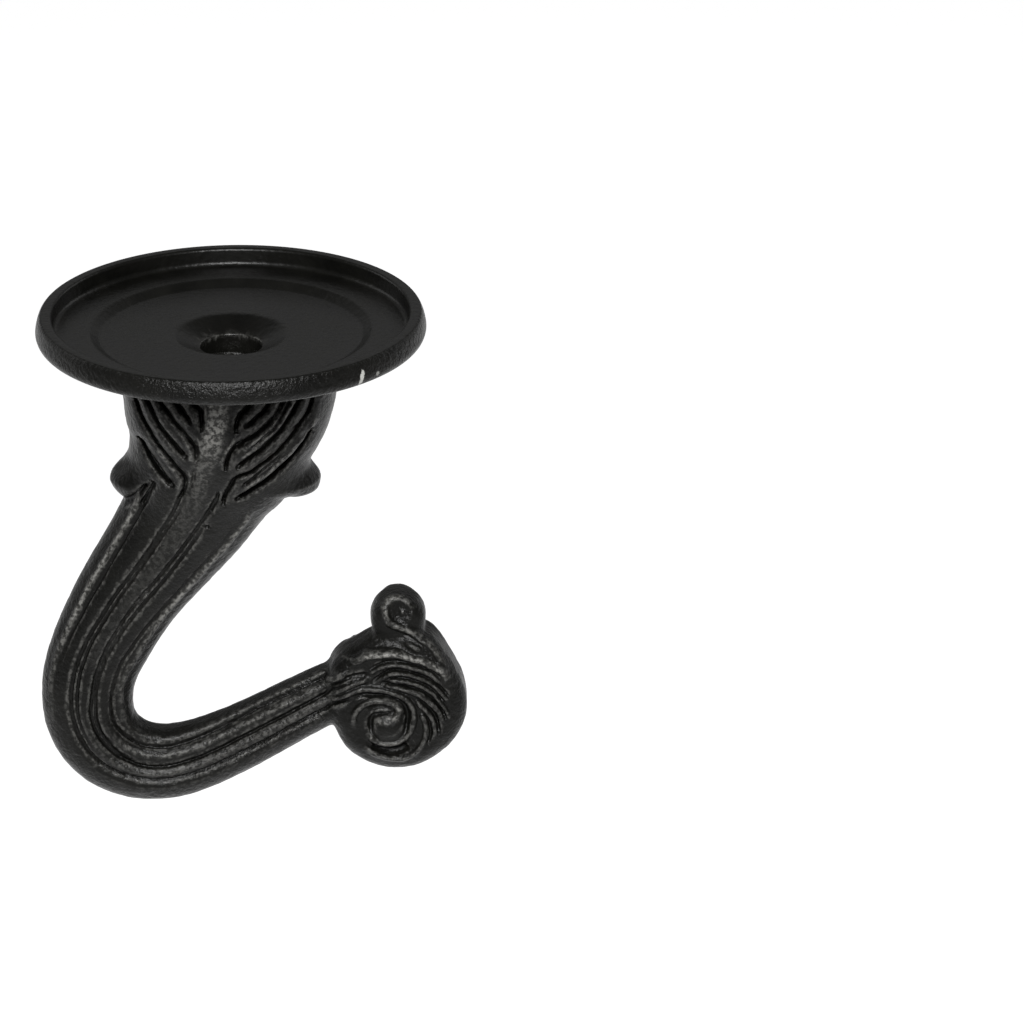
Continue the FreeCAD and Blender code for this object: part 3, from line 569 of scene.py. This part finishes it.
nub = cushion(*NUB)
d, s, share = near_line(grid_x, grid_z, soft_line(NUB_RIDGE[0]), 1.2)
high = np.interp(share, (0, .20, .34, .5, 1), NUB_RIDGE[1])
wide = np.interp(share, (0, .20, .34, .5, 1), NUB_RIDGE[2])
lift = high * np.clip(s / 0.5, 0.4, 1) * np.maximum(0, 1 - (d / wide) ** 2)
d = np.hypot(gx2 - NUB_DIMPLE[0], gz2 - NUB_DIMPLE[1])
dimple = NUB_DIMPLE[2] * np.maximum(0, 1 - (d / NUB_DIMPLE[3]) ** 2) ** 1.5
lift = lift - dimple * (1 - step_up(lift / .20))
d = np.hypot(gx2 - NUB_DOT[0], gz2 - NUB_DOT[1])
lift = lift + NUB_DOT[2] * np.exp(-(d / NUB_DOT[3]) ** 2)
on_ball = 1 - step_up((np.hypot((gx2 - NUB[0]) / NUB[2], (gz2 - NUB[1]) / NUB[4]) - .95) / .15)
lift = lift * np.maximum(on_ball, step_up((.35 - d2) / .90))
scroll = smin(tip, nub, 0.5)
scroll -= (lift[:, None, :] * step_up((y1 - 0.9) / 1.0)[None, :, None]).astype(np.float32)
hook = smin(limb, scroll, 0.6)
del limb, tip, nub, scroll, q3

field = np.full((nx, ny, nz), 4.0, np.float32)
field[:, :near_y] = hook
del hook

# ------------------------------------------------------------------- plate
def arc(cx, cz, r, a0, a1, n=8):
    a = np.radians(np.linspace(a0, a1, n))
    return [(cx + r * math.cos(t), cz + r * math.sin(t)) for t in a]


profile = [(0.0, -3.40), (3.03, -3.40), (5.22, -2.34), (5.42, -2.26), (5.70, -2.21)]
profile += [(6.10, -2.20), (12.55, -2.34), (12.78, -2.33), (12.96, -2.26)]
profile += [(13.62, -1.84), (13.80, -1.75), (14.05, -1.72), (16.60, -1.74)]
profile += arc(16.90, -1.22, 0.52, -90, 0, 11)
profile += arc(17.74, -0.30, 0.32, 180, 90, 9)
profile += [(18.44, 0.0), (18.54, -0.03), (18.62, -0.11), (18.70, -0.24), (18.775, -0.40)]
profile += [(18.84, -0.58), (18.90, -0.78), (18.95, -0.98), (18.99, -1.19), (19.03, -1.40)]
profile += [(19.05, -1.58), (19.04, -1.76), (18.99, -1.95), (18.91, -2.13)]
profile += [(18.78, -2.29), (18.62, -2.39), (18.42, -2.45), (18.1, -2.47)]
profile += [(17.6, -2.49), (16.2, -2.63), (14.2, -2.98), (12.0, -3.56),
            (10.0, -4.33), (8.0, -5.15), (0.0, -5.15)]
profile = np.array(profile)
pr = np.arange(0, 29.0, 0.06)
pz = np.arange(-9.0, 2.0, 0.06)
prr, pzz = np.meshgrid(pr, pz, indexing="ij")
mirror = profile[::-1] * (-1, 1)
turned = polygon_distance(prr, pzz, np.r_[profile, mirror[1:-1]])
ks = np.nonzero(grid_z > -8.0)[0]
rad = np.hypot(grid_x[:, None], half_y[None, :])
ri = np.clip(rad / 0.06, 0, len(pr) - 2)
rl = ri.astype(int)
rf = (ri - rl).astype(np.float32)
for k in ks:
    zi = (grid_z[k] - pz[0]) / 0.06
    zl = int(zi)
    zf = zi - zl
    row = turned[:, zl] * (1 - zf) + turned[:, min(zl + 1, len(pz) - 1)] * zf
    plate = row[rl] * (1 - rf) + row[rl + 1] * rf
    neck_here = np.maximum(field[:, :, k], grid_z[k] + 3.25)
    field[:, :, k] = smin(neck_here, plate, 1.1)

# both halves, then the threaded hole, which is not the same on both sides
field = np.concatenate([field[:, ::-1], field], axis=1)
full_y = np.r_[-half_y[::-1], half_y]
hi_ = np.nonzero(np.abs(grid_x) < 7.0)[0]
hj_ = np.nonzero(np.abs(full_y) < 7.0)[0]
hk_ = np.nonzero((grid_z > -16.5))[0]
hx = grid_x[hi_][:, None, None]
hy = full_y[hj_][None, :, None]
hz = grid_z[hk_][None, None, :]
hr = np.sqrt(hx ** 2 + hy ** 2)
turn = np.arctan2(hy, hx) / (2 * np.pi)
phase = np.mod(hz / THREAD_PITCH - turn, 1.0)
tri = 1 - np.abs(2 * phase - 1)
wall = HOLE_R + (THREAD_R - HOLE_R) * np.clip(1.35 * tri - 0.12, 0, 1)
wall = HOLE_R + (wall - HOLE_R) * np.clip((hz - HOLE_END_Z - 0.8) / 0.8, 0, 1)
bore = (hr - wall) * 0.82
bore = np.maximum(bore, (HOLE_END_Z - 0.60 * (HOLE_R - hr) - hz) * 0.85)
cone = (hr - (3.03 + (hz + 3.40) * 0.04)) * 0.99
bore = np.where(hz > -5.2, np.minimum(bore, cone), bore)
bore = np.maximum(bore, hz + 3.28)
funnel = (hr - (3.03 + (hz + 3.40) * 2.066)) * 0.435
bore = np.minimum(bore, np.maximum(funnel, -(hz + 3.45)))
block = np.ix_(hi_, hj_, hk_)
field[block] = np.maximum(field[block], -bore)


# -------------------------------------------------------------------- mesh
def surface_nets(f, xs, ys, zs):
    inside = f < 0
    n = [m - 1 for m in f.shape]
    total = np.zeros(n, np.uint8)
    for dx in (0, 1):
        for dy in (0, 1):
            for dz in (0, 1):
                total += inside[dx:dx + n[0], dy:dy + n[1], dz:dz + n[2]]
    active = (total > 0) & (total < 8)
    index = np.full(n, -1, np.int32)
    cells = np.nonzero(active)
    index[active] = np.arange(len(cells[0]), dtype=np.int32)
    acc = np.zeros((len(cells[0]), 3))
    cnt = np.zeros(len(cells[0]))
    corner = {}
    for dx in (0, 1):
        for dy in (0, 1):
            for dz in (0, 1):
                corner[dx, dy, dz] = f[cells[0] + dx, cells[1] + dy, cells[2] + dz].astype(float)
    for axis in range(3):
        for p in (0, 1):
            for q in (0, 1):
                c0 = [p, q]
                c0.insert(axis, 0)
                c1 = list(c0)
                c1[axis] = 1
                f0, f1 = corner[tuple(c0)], corner[tuple(c1)]
                m = (f0 < 0) != (f1 < 0)
                t = np.where(m, f0 / np.where(m, f0 - f1, 1), 0)
                pos = np.tile(np.array(c0, float), (len(t), 1))
                pos[:, axis] = t
                acc += pos * m[:, None]
                cnt += m
    verts = acc / cnt[:, None] + np.stack(cells, 1)
    quads = []
    for axis in range(3):
        b, c = (axis + 1) % 3, (axis + 2) % 3
        s0 = [slice(None)] * 3
        s1 = [slice(None)] * 3
        s0[axis] = slice(0, -1)
        s1[axis] = slice(1, None)
        a0, a1 = inside[tuple(s0)], inside[tuple(s1)]
        at = np.nonzero(a0 != a1)
        flip = a1[at]
        at = np.stack(at, 1)
        ok = ((at[:, b] > 0) & (at[:, c] > 0)
              & (at[:, b] < n[b]) & (at[:, c] < n[c]))
        at, flip = at[ok], flip[ok]
        ring = []
        for db, dc in ((-1, -1), (0, -1), (0, 0), (-1, 0)):
            w = at.copy()
            w[:, b] += db
            w[:, c] += dc
            ring.append(index[w[:, 0], w[:, 1], w[:, 2]])
        ring = np.stack(ring, 1)
        ring[flip] = ring[flip][:, ::-1]
        quads.append(ring)
    return verts, np.concatenate(quads)


def sample(f, v):
    """Field at grid coordinates v, between the nodes."""
    lim = np.array(f.shape) - 2
    i = np.clip(v.astype(int), 0, lim)
    t = v - i
    out = 0.0
    for dx in (0, 1):
        wx = t[:, 0] if dx else 1 - t[:, 0]
        for dy in (0, 1):
            wy = t[:, 1] if dy else 1 - t[:, 1]
            for dz in (0, 1):
                wz = t[:, 2] if dz else 1 - t[:, 2]
                out = out + wx * wy * wz * f[i[:, 0] + dx, i[:, 1] + dy, i[:, 2] + dz]
    return out


def gradient(f, v, e=0.6):
    g = np.zeros_like(v)
    for a in range(3):
        o = np.zeros(3)
        o[a] = e
        g[:, a] = (sample(f, v + o) - sample(f, v - o)) / (2 * e)
    return g


verts, quads = surface_nets(field, grid_x, full_y, grid_z)
for _ in range(2):
    g = gradient(field, verts)
    gg = (g ** 2).sum(1) + 1e-9
    move = -(sample(field, verts) / gg)[:, None] * g
    size = np.linalg.norm(move, axis=1, keepdims=True)
    verts = verts + move * np.minimum(1, 0.45 / np.maximum(size, 1e-9))


def to_mm(v):
    return v * STEP + np.array([grid_x[0], full_y[0], grid_z[0]])


def turned_at(r, z):
    i = np.clip(r / 0.06, 0, len(pr) - 2)
    j = np.clip((z - pz[0]) / 0.06, 0, len(pz) - 2)
    il, jl = i.astype(int), j.astype(int)
    a, b = i - il, j - jl
    return ((turned[il, jl] * (1 - a) + turned[il + 1, jl] * a) * (1 - b)
            + (turned[il, jl + 1] * (1 - a) + turned[il + 1, jl + 1] * a) * b)


def on_plate(v):
    """How far a point lies on the turned plate, the distance and the normal."""
    r = np.hypot(v[:, 0], v[:, 1])
    d = turned_at(r, v[:, 2])
    e = 0.08
    gr = (turned_at(r + e, v[:, 2]) - turned_at(r - e, v[:, 2])) / (2 * e)
    gz = (turned_at(r, v[:, 2] + e) - turned_at(r, v[:, 2] - e)) / (2 * e)
    g = np.stack([gr * v[:, 0] / np.maximum(r, 1e-6), gr * v[:, 1] / np.maximum(r, 1e-6), gz], 1)
    g /= np.linalg.norm(g, axis=1, keepdims=True) + 1e-9
    part = np.clip((0.07 - np.abs(d)) / 0.03, 0, 1) * (r > 3.25) * (v[:, 2] > -4.4)
    return part, d, g


# skin of the casting: low lumps all over, coarse grain along the stem
LATTICE = (np.random.default_rng(7).random((48, 48, 48)) * 2 - 1).astype(np.float32)
stem_d = near_line(grid_x, grid_z, line_through(STEM), 2.0)[0]
stem2 = (1 - step_up((stem_d - .55) / .75)).astype(np.float32)


def lumps(p, scale):
    q = p / scale + 100.37
    i = np.floor(q).astype(int)
    t = q - i
    t = t * t * (3 - 2 * t)
    out = 0.0
    for dx in (0, 1):
        wx = t[:, 0] if dx else 1 - t[:, 0]
        for dy in (0, 1):
            wy = t[:, 1] if dy else 1 - t[:, 1]
            for dz in (0, 1):
                wz = t[:, 2] if dz else 1 - t[:, 2]
                out = out + wx * wy * wz * LATTICE[(i[:, 0] + dx) % 48, (i[:, 1] + dy) % 48,
                                                   (i[:, 2] + dz) % 48]
    return out


def stem_at(p):
    i = np.clip(((p[:, 0] - grid_x[0]) / STEP + .5).astype(int), 0, nx - 1)
    k = np.clip(((p[:, 2] - grid_z[0]) / STEP + .5).astype(int), 0, nz - 1)
    return stem2[i, k] * np.clip((-4.6 - p[:, 2]) / .8, 0, 1)


def crest_rub_and_highlight(p):
    """Pale lines on the arm's ribs, the tip's and ball's ridges and the leaf ridges: partly paint wear, partly
    painted highlight where the crests catch the light.
    """
    i = np.clip(((p[:, 0] - grid_x[0]) / STEP + .5).astype(int), 0, nx - 1)
    k = np.clip(((p[:, 2] - grid_z[0]) / STEP + .5).astype(int), 0, nz - 1)
    n = nearest[i, k]
    hw, hd = spine[n, 2], spine[n, 3]
    place = np.clip((u2[i, k] / hw + 1) / 2, 0, 1)
    out = np.zeros(len(p))
    for line, amount in RIBS_RUBBED_AND_HIGHLIT:
        at_line = along_arm(line)[n]
        v = np.clip(np.abs(2 * at_line - 1), 0, .985)
        dy = hd * v ** (POWER - 1) * (1 - v ** POWER) ** (1 / POWER - 1)
        d = np.abs(place - at_line) * 2 * np.sqrt(hw ** 2 + dy ** 2)
        out = np.maximum(out, along_arm(amount)[n] * (1 - step_up((d - .10) / .30)))
    out = out * (np.abs(p[:, 1]) > .8) * (p[:, 0] < 9.5)
    for pts, width, amount in TIP_RUBBED_AND_HIGHLIT:
        d = near_line(grid_x, grid_z, soft_line(pts), 1.0)[0][i, k]
        out = np.maximum(out, amount * (1 - step_up((d - .08) / width)) * (np.abs(p[:, 1]) > 1.6))
    for pts, hgt, wid in LEAF_RIDGES:
        d = near_line(grid_x, grid_z, soft_line(pts), 1.0)[0][i, k]
        out = np.maximum(out, .42 * (1 - step_up((d - .04) / .24)) * (np.abs(p[:, 1]) > 1.6))
    return out


def far_out_of_hole(p):
    return (np.hypot(p[:, 0], p[:, 1]) > 3.4) | (p[:, 2] < -14.5)


def skin(p):
    cast = np.clip((-4.8 - p[:, 2]) / 1.0, 0, 1)
    low = cast * (0.030 * lumps(p, 1.05) + 0.022 * lumps(p + 7.3, 0.50))
    return low + stem_at(p) * (0.040 * lumps(p + 3.1, 0.62) + 0.036 * lumps(p + 5.7, 0.42))


def make_mesh(name, co, faces):
    me = bpy.data.meshes.new(name)
    me.vertices.add(len(co))
    me.vertices.foreach_set("co", np.ascontiguousarray(co, np.float32).ravel())
    k = faces.shape[1]
    me.loops.add(faces.size)
    me.loops.foreach_set("vertex_index", np.ascontiguousarray(faces, np.int32).ravel())
    me.polygons.add(len(faces))
    me.polygons.foreach_set("loop_start", np.arange(0, faces.size, k, dtype=np.int32))
    me.update(calc_edges=True)
    me.validate()
    return me


at = to_mm(verts)
part, d, g = on_plate(at)
at -= (part * np.clip(d, -.06, .06))[:, None] * g
g = gradient(field, verts)
g /= np.linalg.norm(g, axis=1, keepdims=True) + 1e-9
at += g * skin(at)[:, None]
dense = make_mesh("casting_dense", at * 0.001, quads)
temp = bpy.data.objects.new("casting_dense", dense)
bpy.context.scene.collection.objects.link(temp)
keep = temp.vertex_groups.new(name="rim")
rr = np.hypot(at[:, 0], at[:, 1])
keep.add(np.nonzero((rr > 18.25) & (at[:, 2] > -2.36))[0].tolist(), 1.0, "REPLACE")
thin = temp.modifiers.new("thin", "DECIMATE")
thin.vertex_group = "rim"
thin.invert_vertex_group = True
thin.vertex_group_factor = 1.0
thin.ratio = min(1.0, TRIANGLES / (2.0 * len(quads)))
thin.use_collapse_triangulate = True
bpy.context.view_layer.update()
mesh = bpy.data.meshes.new_from_object(temp.evaluated_get(bpy.context.evaluated_depsgraph_get()))
bpy.data.objects.remove(temp)
bpy.data.meshes.remove(dense)
mesh.name = "swag_hook_casting"


def close_up(me):
    """Merge the ends of edges that carry more or fewer than two faces."""
    bm = bmesh.new()
    bm.from_mesh(me)
    for _ in range(12):
        bad = [e for e in bm.edges if len(e.link_faces) != 2]
        tiny = [e for e in bm.edges if e.calc_length() < 2e-6]
        if not bad and not tiny:
            break
        bmesh.ops.collapse(bm, edges=list(set(bad + tiny)), uvs=False)
        bm.faces.ensure_lookup_table()
        groups = {}
        for f in bm.faces:
            groups.setdefault(frozenset(v.index for v in f.verts), []).append(f)
        twins = [f for fs in groups.values() if len(fs) > 1 for f in fs]
        if twins:
            bmesh.ops.delete(bm, geom=twins, context="FACES")
        loose = [v for v in bm.verts if not v.link_faces]
        if loose:
            bmesh.ops.delete(bm, geom=loose, context="VERTS")
        bm.verts.index_update()
    bm.to_mesh(me)
    bm.free()
    me.update()


close_up(mesh)
casting = bpy.data.objects.new("swag_hook_casting", mesh)
bpy.context.scene.collection.objects.link(casting)

# smooth shading with the field's own normals, a curvature map for edge wear, held back on the tip's upper
# shoulder as painted shade, and a map of paint wear with painted highlight
nv = len(mesh.vertices)
co = np.zeros(nv * 3, np.float32)
mesh.vertices.foreach_get("co", co)
at = co.reshape(-1, 3).astype(float) * 1000
vg = (at - np.array([grid_x[0], full_y[0], grid_z[0]])) / STEP
nrm = gradient(field, vg)
nrm /= np.linalg.norm(nrm, axis=1, keepdims=True) + 1e-9
part, d, g = on_plate(at)
nrm = nrm * (1 - part[:, None]) + g * part[:, None]
slope = np.zeros_like(nrm)
for axis in range(3):
    o = np.zeros(3)
    o[axis] = 0.07
    slope[:, axis] = (skin(at + o) - skin(at - o)) / 0.14
nrm = nrm - slope + (slope * nrm).sum(1, keepdims=True) * nrm
nrm /= np.linalg.norm(nrm, axis=1, keepdims=True) + 1e-9
e = 2.0
lap = -6 * sample(field, vg)
for axis in range(3):
    o = np.zeros(3)
    o[axis] = e
    lap = lap + sample(field, vg + o) + sample(field, vg - o)
curv = lap / (e * STEP) ** 2
curv = curv * np.clip((-2.9 - at[:, 2]) / .5, .12, 1)
# The tip's upper shoulder above the highest ridge gets almost no pale edge wear, so it stays dark: painted shade.
over = at[:, 2] - np.interp(at[:, 0], crest[:, 0], crest[:, 1])
shaded_shoulder = (step_up((over - .30) / .3) * (at[:, 0] > 9.0) * (at[:, 2] < -32.2)
        * (1 - step_up((at[:, 0] - 16.0) / .6)))
curv = curv * (1 - .9 * shaded_shoulder)
# Paint lightened along the stem, strongest near the plate and fading downward: partly paint wear, partly a
# painted highlight where the upper stem catches the light.
rubbed_and_highlit = stem_at(at) * np.interp(at[:, 2], (-30, -18, -13, -9, -6), (.03, .09, .24, .75, 1.0))
rubbed_and_highlit = np.maximum(rubbed_and_highlit, crest_rub_and_highlight(at)) * (far_out_of_hole(at))
mesh.polygons.foreach_set("use_smooth", np.ones(len(mesh.polygons), bool))
mesh.normals_split_custom_set_from_vertices([tuple(v) for v in nrm])
att = mesh.attributes.new("edge", "FLOAT", "POINT")
att.data.foreach_set("value", np.clip(curv, -3, 3).astype(np.float32))
att = mesh.attributes.new("cast", "FLOAT", "POINT")
far_out = np.hypot(at[:, 0], at[:, 1])
grainy = np.clip((-3.6 - at[:, 2]) / 1.2, .20, .75) + .25 * stem_at(at)
grainy = np.maximum(grainy, .90 * step_up((far_out - 18.35) / .25))
att.data.foreach_set("value", grainy.astype(np.float32))
att = mesh.attributes.new("rub_and_highlight", "FLOAT", "POINT")
att.data.foreach_set("value", rubbed_and_highlit.astype(np.float32))
del field

# ---------------------------------------------------------------- material
def node(tree, kind, x, y, **values):
    n = tree.nodes.new(kind)
    n.location = (x, y)
    for key, value in values.items():
        setattr(n, key, value)
    return n


mat = bpy.data.materials.new("black_cast_paint")
mat.use_nodes = True
nt = mat.node_tree
nt.nodes.clear()
out = node(nt, "ShaderNodeOutputMaterial", 900, 0)
bsdf = node(nt, "ShaderNodeBsdfPrincipled", 600, 0)
nt.links.new(bsdf.outputs["BSDF"], out.inputs["Surface"])
coord = node(nt, "ShaderNodeTexCoord", -1500, 0)
edge = node(nt, "ShaderNodeAttribute", -1500, 500, attribute_name="edge")
rub_and_highlight = node(nt, "ShaderNodeAttribute", -1500, 700, attribute_name="rub_and_highlight")
cast_part = node(nt, "ShaderNodeAttribute", -1500, -600, attribute_name="cast")
bsdf.inputs["Specular IOR Level"].default_value = .165

blotch = node(nt, "ShaderNodeTexNoise", -1200, 200)
blotch.inputs["Scale"].default_value = 260.0
blotch.inputs["Detail"].default_value = 4.0
blotch.inputs["Roughness"].default_value = 0.6
nt.links.new(coord.outputs["Object"], blotch.inputs["Vector"])
grain = node(nt, "ShaderNodeTexNoise", -1200, -50)
grain.inputs["Scale"].default_value = 2300.0
grain.inputs["Detail"].default_value = 3.0
grain.inputs["Roughness"].default_value = 0.60
nt.links.new(coord.outputs["Object"], grain.inputs["Vector"])
pits = node(nt, "ShaderNodeTexVoronoi", -1200, -350)
pits.inputs["Scale"].default_value = 1500.0
nt.links.new(coord.outputs["Object"], pits.inputs["Vector"])

# paint lightened on the raised lines and along the stem, in small flecks: partly paint wear, partly painted
# highlight
fleck = node(nt, "ShaderNodeMapRange", -900, -50)
fleck.inputs["From Min"].default_value = 0.43
fleck.inputs["From Max"].default_value = 0.60
fleck.inputs["To Min"].default_value = 0.14
nt.links.new(grain.outputs["Fac"], fleck.inputs["Value"])
wear = node(nt, "ShaderNodeMapRange", -1200, 500)
wear.inputs["From Min"].default_value = 1.00
wear.inputs["From Max"].default_value = 3.0
wear.inputs["To Max"].default_value = 0.26
nt.links.new(edge.outputs["Fac"], wear.inputs["Value"])
rub_and_highlight_part = node(nt, "ShaderNodeMath", -1200, 700, operation="MULTIPLY")
rub_and_highlight_part.inputs[1].default_value = 1.40
nt.links.new(rub_and_highlight.outputs["Fac"], rub_and_highlight_part.inputs[0])
both = node(nt, "ShaderNodeMath", -900, 600, operation="MAXIMUM")
nt.links.new(wear.outputs["Result"], both.inputs[0])
nt.links.new(rub_and_highlight_part.outputs["Value"], both.inputs[1])
worn_and_highlit = node(nt, "ShaderNodeMath", -650, 500, operation="MULTIPLY")
nt.links.new(both.outputs["Value"], worn_and_highlit.inputs[0])
nt.links.new(fleck.outputs["Result"], worn_and_highlit.inputs[1])

paint = node(nt, "ShaderNodeValToRGB", -650, 200)
paint.color_ramp.elements[0].position = 0.30
paint.color_ramp.elements[0].color = (0.0018, 0.0018, 0.0015, 1)
paint.color_ramp.elements[1].position = 0.72
paint.color_ramp.elements[1].color = (0.0046, 0.0045, 0.0038, 1)
nt.links.new(blotch.outputs["Fac"], paint.inputs["Fac"])
# pale colour for the edge wear and for the painted highlights on the crests and the stem
colour = node(nt, "ShaderNodeMix", -300, 250, data_type="RGBA")
colour.inputs["B"].default_value = (0.185, 0.182, 0.171, 1)
nt.links.new(worn_and_highlit.outputs["Value"], colour.inputs["Factor"])
nt.links.new(paint.outputs["Color"], colour.inputs["A"])

# two pale marks on the outside of the rim: painted highlights of a glint off small nicks
last = colour
for place, size, slant, much in (((12.72, -14.05, -1.55), (0.30, 0.42, 0.98), 0.30, 0.85),
                                 ((14.25, -12.55, -1.70), (0.30, 0.36, 0.28), 0.0, 0.40)):
    off = node(nt, "ShaderNodeVectorMath", -1200, 950, operation="SUBTRACT")
    off.inputs[1].default_value = [v * 0.001 for v in place]
    nt.links.new(coord.outputs["Object"], off.inputs[0])
    lean = node(nt, "ShaderNodeVectorRotate", -1050, 950, rotation_type="AXIS_ANGLE")
    lean.inputs["Axis"].default_value = (0.67, -0.74, 0)
    lean.inputs["Angle"].default_value = slant
    nt.links.new(off.outputs["Vector"], lean.inputs["Vector"])
    span = node(nt, "ShaderNodeVectorMath", -900, 950, operation="DIVIDE")
    span.inputs[1].default_value = [v * 0.001 for v in size]
    nt.links.new(lean.outputs["Vector"], span.inputs[0])
    far = node(nt, "ShaderNodeVectorMath", -750, 950, operation="LENGTH")
    nt.links.new(span.outputs["Vector"], far.inputs[0])
    ragged = node(nt, "ShaderNodeMath", -600, 950, operation="ADD")
    nt.links.new(far.outputs["Value"], ragged.inputs[0])
    nt.links.new(grain.outputs["Fac"], ragged.inputs[1])
    glint_mark = node(nt, "ShaderNodeMapRange", -450, 950)
    glint_mark.inputs["From Min"].default_value = 1.42
    glint_mark.inputs["From Max"].default_value = 1.10
    glint_mark.inputs["To Max"].default_value = much
    nt.links.new(ragged.outputs["Value"], glint_mark.inputs["Value"])
    over = node(nt, "ShaderNodeMix", -100, 400, data_type="RGBA")
    over.inputs["B"].default_value = (0.42, 0.42, 0.40, 1)
    nt.links.new(glint_mark.outputs["Result"], over.inputs["Factor"])
    nt.links.new(last.outputs["Result"], over.inputs["A"])
    last = over
nt.links.new(last.outputs["Result"], bsdf.inputs["Base Color"])

rough = node(nt, "ShaderNodeMapRange", -300, -50)
rough.inputs["From Min"].default_value = 0.25
rough.inputs["From Max"].default_value = 0.75
rough.inputs["To Min"].default_value = 0.31
rough.inputs["To Max"].default_value = 0.37
nt.links.new(blotch.outputs["Fac"], rough.inputs["Value"])
nt.links.new(rough.outputs["Result"], bsdf.inputs["Roughness"])

bump_a = node(nt, "ShaderNodeBump", 100, -250)
nt.links.new(cast_part.outputs["Fac"], bump_a.inputs["Strength"])
bump_a.inputs["Distance"].default_value = 0.00018
nt.links.new(grain.outputs["Fac"], bump_a.inputs["Height"])
bump_b = node(nt, "ShaderNodeBump", 300, -350)
bump_b.inputs["Strength"].default_value = 0.25
bump_b.inputs["Distance"].default_value = 0.00010
nt.links.new(pits.outputs["Distance"], bump_b.inputs["Height"])
nt.links.new(bump_a.outputs["Normal"], bump_b.inputs["Normal"])
nt.links.new(bump_b.outputs["Normal"], bsdf.inputs["Normal"])

casting.data.materials.append(mat)
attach(casting, "root")
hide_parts("swag_hook")

# ------------------------------------------------------- floor, light, camera
floor_mat = bpy.data.materials.new("pale_floor")
floor_mat.use_nodes = True
fb = floor_mat.node_tree.nodes["Principled BSDF"]
fb.inputs["Base Color"].default_value = (0.92, 0.92, 0.92, 1)
fb.inputs["Roughness"].default_value = 0.9
fb.inputs["Emission Color"].default_value = (1, 1, 1, 1)
fb.inputs["Emission Strength"].default_value = 0.60
me = bpy.data.meshes.new("floor")
s = 4.0
me.from_pydata([(-s, -s, -0.35), (s, -s, -0.35), (s, s, -0.35), (-s, s, -0.35)], [], [(0, 1, 2, 3)])
floor = bpy.data.objects.new("floor", me)
bpy.context.scene.collection.objects.link(floor)
floor.data.materials.append(floor_mat)

world = bpy.data.worlds.new("studio")
bpy.context.scene.world = world
world.use_nodes = True
bg = world.node_tree.nodes["Background"]
bg.inputs["Color"].default_value = (1, 1, 1, 1)
bg.inputs["Strength"].default_value = 0.13


def lamp(name, place, aim, size, power, spread=math.pi):
    data = bpy.data.lights.new(name, "AREA")
    data.shape = "RECTANGLE"
    data.size, data.size_y = size
    data.energy = power
    data.spread = spread
    ob = bpy.data.objects.new(name, data)
    bpy.context.scene.collection.objects.link(ob)
    ob.location = place
    ob.rotation_euler = (Vector(aim) - Vector(place)).to_track_quat("-Z", "Y").to_euler()
    return ob


lamp("key", (-0.02, -0.75, 0.60), (0, 0, -0.02), (0.36, 0.46), 2.7, 1.2)
lamp("back", (0, 1.60, 0.80), (0, 0, -0.02), (1.7, 0.9), 1.2)
lamp("side_left", (-1.10, 0.65, 0.60), (0, 0, -0.02), (0.5, 0.8), 2.4)
lamp("side_right", (1.10, 0.75, 0.60), (0, 0, -0.02), (0.5, 0.8), 2.0)

bpy.context.scene.view_settings.view_transform = "Standard"

PX_PER_MM = 390.3 / 38.1
ELEV = math.radians(21.6)
ROLL = 0.0168
DIST = 2.4
AIM = Vector((0, 0, -0.022))            # this point is seen at AIM_PX
AIM_PX = (234.9, 523.0)
fwd = Vector((0, math.cos(ELEV), -math.sin(ELEV)))
r0 = Vector((1, 0, 0))
u0 = Vector((0, math.sin(ELEV), math.cos(ELEV)))
right = r0 * math.cos(ROLL) - u0 * math.sin(ROLL)
up = r0 * math.sin(ROLL) + u0 * math.cos(ROLL)
off_x = (AIM_PX[0] - 512) / PX_PER_MM * 0.001
off_y = -(AIM_PX[1] - 512) / PX_PER_MM * 0.001
cam_data = bpy.data.cameras.new("camera")
cam_data.sensor_width = 36.0
cam_data.lens = 36.0 * DIST / (1024 / PX_PER_MM * 0.001)
cam_data.clip_start = 0.01
cam_data.clip_end = 50
cam = bpy.data.objects.new("camera", cam_data)
bpy.context.scene.collection.objects.link(cam)
place = AIM - right * off_x - up * off_y - fwd * DIST
basis = Matrix((right, up, -fwd)).transposed()
cam.matrix_world = Matrix.Translation(place) @ basis.to_4x4()
bpy.context.scene.camera = cam
